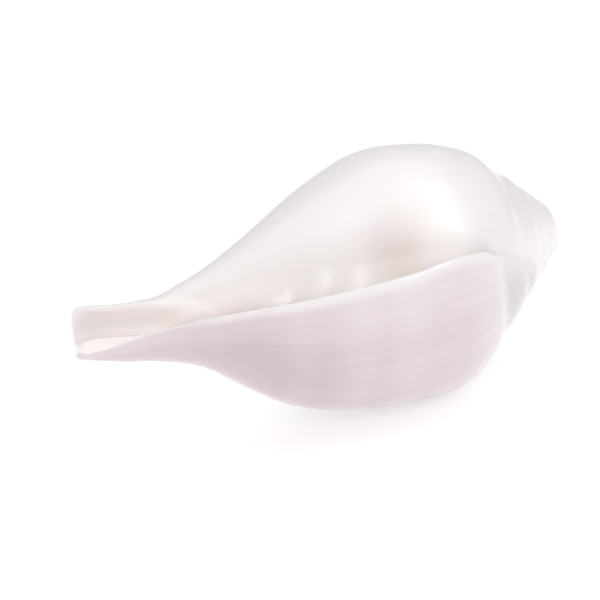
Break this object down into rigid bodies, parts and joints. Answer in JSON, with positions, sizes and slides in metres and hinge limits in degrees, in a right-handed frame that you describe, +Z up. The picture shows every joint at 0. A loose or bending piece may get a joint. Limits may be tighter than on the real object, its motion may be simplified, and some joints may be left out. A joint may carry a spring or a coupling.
{
  "type": "conch shell",
  "caption": "Polished white conch shell lying on its back, with a wide sloping lip, folds on its pillar, a short spire and a long open canal.",
  "frame": {"origin": "on the surface the shell lies on, under the middle of its box", "axes": "+X along the coiling axis towards the apex, +Y away from the outer lip, +Z up"},
  "size_m": [0.1294, 0.0704, 0.0642],
  "materials": {
    "shell": "smooth polished porcelain white, faint pink and cream in the hollows"
  },
  "bodies": {
    "root": {"shell": "shell"}
  },
  "joints": []
}
